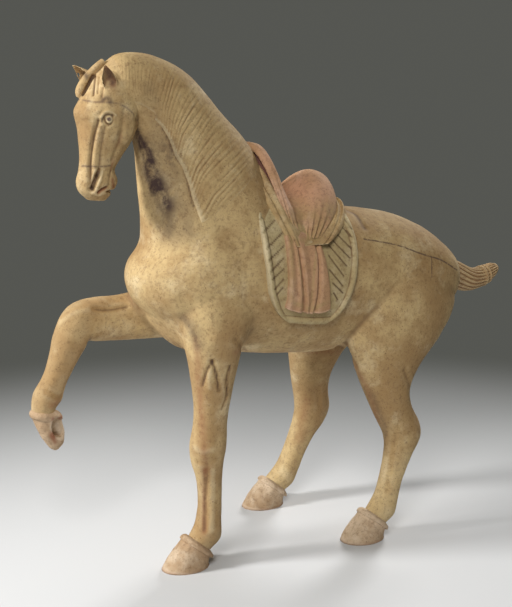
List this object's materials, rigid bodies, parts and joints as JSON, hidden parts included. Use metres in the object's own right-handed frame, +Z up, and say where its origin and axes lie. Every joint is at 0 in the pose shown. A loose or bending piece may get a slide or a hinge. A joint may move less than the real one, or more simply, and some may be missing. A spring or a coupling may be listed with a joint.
{
  "type": "pottery horse figure",
  "caption": "Standing figure of a saddled horse in fired clay, head lowered on an arched neck, right foreleg raised, mane combed to both sides, saddle cover gathered at each flank",
  "frame": {"origin": "on the floor, midway between the ends and the sides of the bounding box", "axes": "+Z up from the floor, -X ahead of the horse, +X towards its tail, -Y to its left"},
  "size_m": [0.6092, 0.192, 0.5504],
  "materials": {
    "fired_clay": "matt unglazed earthenware under a worn buff slip, with rubbed pink and pale green pigment on the saddle cloths"
  },
  "bodies": {
    "root": {"horse_figure": "fired_clay"}
  },
  "joints": []
}
